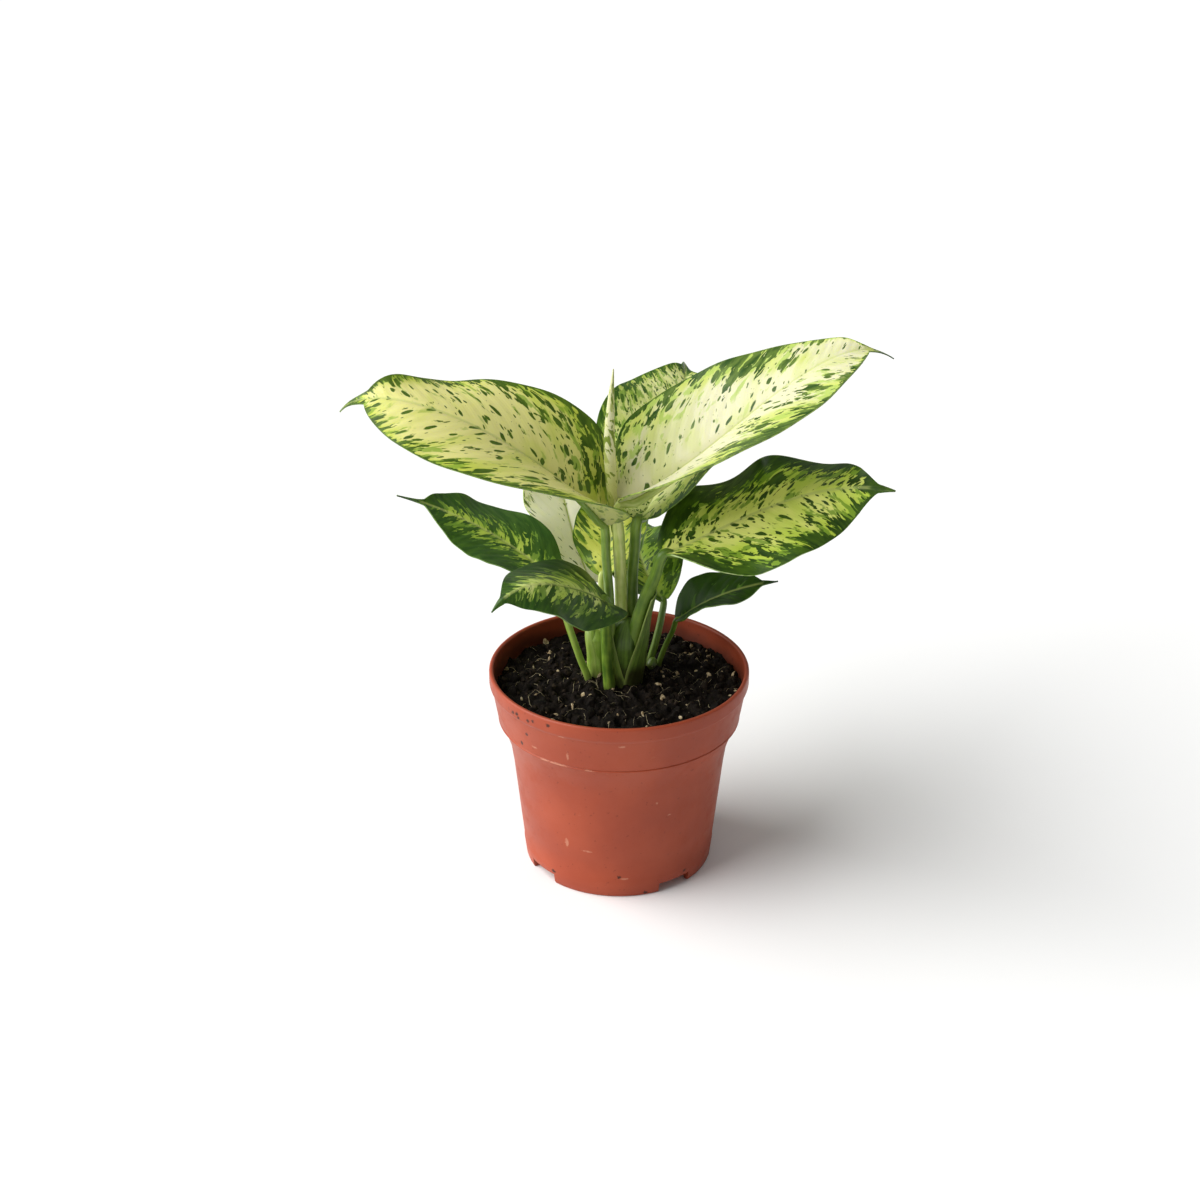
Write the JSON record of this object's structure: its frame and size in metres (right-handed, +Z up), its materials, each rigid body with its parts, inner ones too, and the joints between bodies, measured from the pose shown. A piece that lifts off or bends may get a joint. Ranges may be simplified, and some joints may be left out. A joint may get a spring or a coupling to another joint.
{
  "type": "potted dieffenbachia",
  "caption": "Leafy house plant with broad cream-variegated blades on sheathing stalks, growing from dark soil in a round tapered plastic pot with a stepped collar.",
  "frame": {"origin": "on the ground at the middle of the pot's flat foot", "axes": "+Z up along the pot's axis, +X to the right of the plant seen from its front, +Y to its back"},
  "size_m": [0.2472, 0.1831, 0.2443],
  "materials": {
    "pot_plastic": "terracotta-coloured moulded plastic, satin, with scuffs and specks of soil",
    "potting_soil": "dark moist peat-based potting soil with pale fibres and bark bits",
    "stem_green": "fleshy green sheaths, satin, paler in streaks",
    "leaf_cream": "cream-yellow leaf blade with dark green flecks and a green margin, waxy satin",
    "leaf_green": "dark green leaf blade with yellow-green streaks along its side veins, waxy satin"
  },
  "bodies": {
    "root": {"pot": "pot_plastic", "soil": "potting_soil", "stem_main": "stem_green", "stem_left": "stem_green", "stem_right": "stem_green", "leaf_upper_left": "leaf_cream", "leaf_upper_right": "leaf_cream", "leaf_rear_left": "leaf_cream", "leaf_rear_centre": "leaf_cream", "leaf_rolled": "leaf_cream", "leaf_back": "leaf_green", "leaf_right": "leaf_green", "leaf_left": "leaf_green", "leaf_front": "leaf_green", "leaf_lower_right": "leaf_green", "leaf_rear_right": "leaf_green"}
  },
  "joints": []
}
